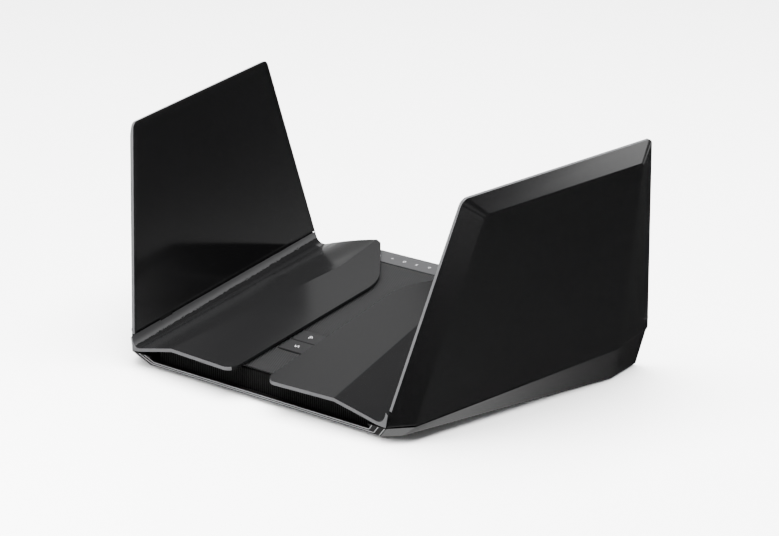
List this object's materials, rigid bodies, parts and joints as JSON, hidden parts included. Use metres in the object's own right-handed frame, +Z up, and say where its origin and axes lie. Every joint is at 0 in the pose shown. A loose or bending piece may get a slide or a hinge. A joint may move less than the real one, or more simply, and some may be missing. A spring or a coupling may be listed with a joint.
{
  "type": "wireless router",
  "caption": "Low wedge-shaped wireless router with two folding antenna wings, a vented spine with two keys and a light bar, and a row of sockets at the back.",
  "frame": {"origin": "on the surface the router rests on, under the middle of its overall box", "axes": "+X to the right-hand wing, +Y to the back (sockets), +Z up"},
  "size_m": [0.3204, 0.2082, 0.1525],
  "materials": {
    "tray_plastic": "satin",
    "foot_rubber": "matte",
    "screw_steel": "satin",
    "inner_plastic": "matte",
    "plate_plastic": "satin gloss",
    "grille_plastic": "knurled",
    "key_plastic": "satin",
    "board_laminate": "satin",
    "switch_plastic": "satin",
    "light_bar_plastic": "smoked",
    "led_plastic": "clear",
    "vent_plastic": "matte",
    "panel_plastic": "satin",
    "socket_plastic": "satin",
    "wan_plastic": "satin",
    "usb_steel": "satin",
    "jack_plastic": "satin",
    "button_plastic": "satin",
    "sink_aluminium": "satin",
    "chip_plastic": "matte",
    "can_steel": "satin",
    "bracket_plastic": "satin",
    "wing_shell_plastic": "satin gloss",
    "wing_panel_plastic": "satin gloss",
    "pin_steel": "polished",
    "antenna_laminate": "satin",
    "lead_jacket": "satin"
  },
  "bodies": {
    "chassis": {"base_tray": "tray_plastic", "case_screws": "screw_steel", "dc_jack": "jack_plastic", "deck_frame": "inner_plastic", "front_vent": "vent_plastic", "key_board": "board_laminate", "key_switches": "switch_plastic", "lan_sockets": "socket_plastic", "left_cover_plate": "plate_plastic", "left_hinge_brackets": "bracket_plastic", "light_bar": "light_bar_plastic", "light_board": "board_laminate", "light_switch": "switch_plastic", "main_board": "board_laminate", "power_switch": "switch_plastic", "processor_heatsink": "sink_aluminium", "radio_heatsinks": "sink_aluminium", "rear_panel": "panel_plastic", "reset_switch": "switch_plastic", "right_cover_plate": "plate_plastic", "right_hinge_brackets": "bracket_plastic", "rubber_feet": "foot_rubber", "shield_cans": "can_steel", "shielded_chips": "chip_plastic", "spine_grille": "grille_plastic", "status_leds": "led_plastic", "usb_sockets": "usb_steel", "wan_socket": "wan_plastic"},
    "right_wing": {"right_wing_outer_shell": "wing_shell_plastic", "right_wing_inner_panel": "wing_panel_plastic", "right_hinge_pins": "pin_steel", "right_antenna_boards": "antenna_laminate", "right_antenna_leads": "lead_jacket"},
    "left_wing": {"left_wing_outer_shell": "wing_shell_plastic", "left_wing_inner_panel": "wing_panel_plastic", "left_hinge_pins": "pin_steel", "left_antenna_boards": "antenna_laminate", "left_antenna_leads": "lead_jacket"},
    "radio_key": {"radio_key": "key_plastic"},
    "pairing_key": {"pairing_key": "key_plastic"},
    "power_button": {"power_button": "button_plastic"},
    "reset_button": {"reset_button": "button_plastic"},
    "light_slider": {"light_slider": "button_plastic"}
  },
  "joints": [
    {"name": "right_wing_hinge", "type": "hinge", "parent": "chassis", "child": "right_wing", "pos_m": [0.12049, -0.00199, 0.02759], "axis": [-0.1629, -0.9839, -0.0732], "range_deg": [0, 65]},
    {"name": "left_wing_hinge", "type": "hinge", "parent": "chassis", "child": "left_wing", "pos_m": [-0.12049, -0.00199, 0.02759], "axis": [-0.1629, 0.9839, 0.0732], "range_deg": [0, 65]},
    {"name": "radio_key_press", "type": "slide", "parent": "chassis", "child": "radio_key", "axis": [0, 0.1961, -0.9806], "range_m": [0, 0.0006], "stiffness_N_per_m": 600, "springref_m": -0.0005},
    {"name": "pairing_key_press", "type": "slide", "parent": "chassis", "child": "pairing_key", "axis": [0, 0.1961, -0.9806], "range_m": [0, 0.0006], "stiffness_N_per_m": 600, "springref_m": -0.0005},
    {"name": "power_button_press", "type": "slide", "parent": "chassis", "child": "power_button", "axis": [0, -1, 0], "range_m": [0, 0.0016], "stiffness_N_per_m": 500, "springref_m": -0.0005},
    {"name": "reset_button_press", "type": "slide", "parent": "chassis", "child": "reset_button", "axis": [0, -1, 0], "range_m": [0, 0.0006], "stiffness_N_per_m": 400, "springref_m": -0.0005},
    {"name": "light_slider_slide", "type": "slide", "parent": "chassis", "child": "light_slider", "axis": [1, 0, 0], "range_m": [0, 0.0024]}
  ]
}
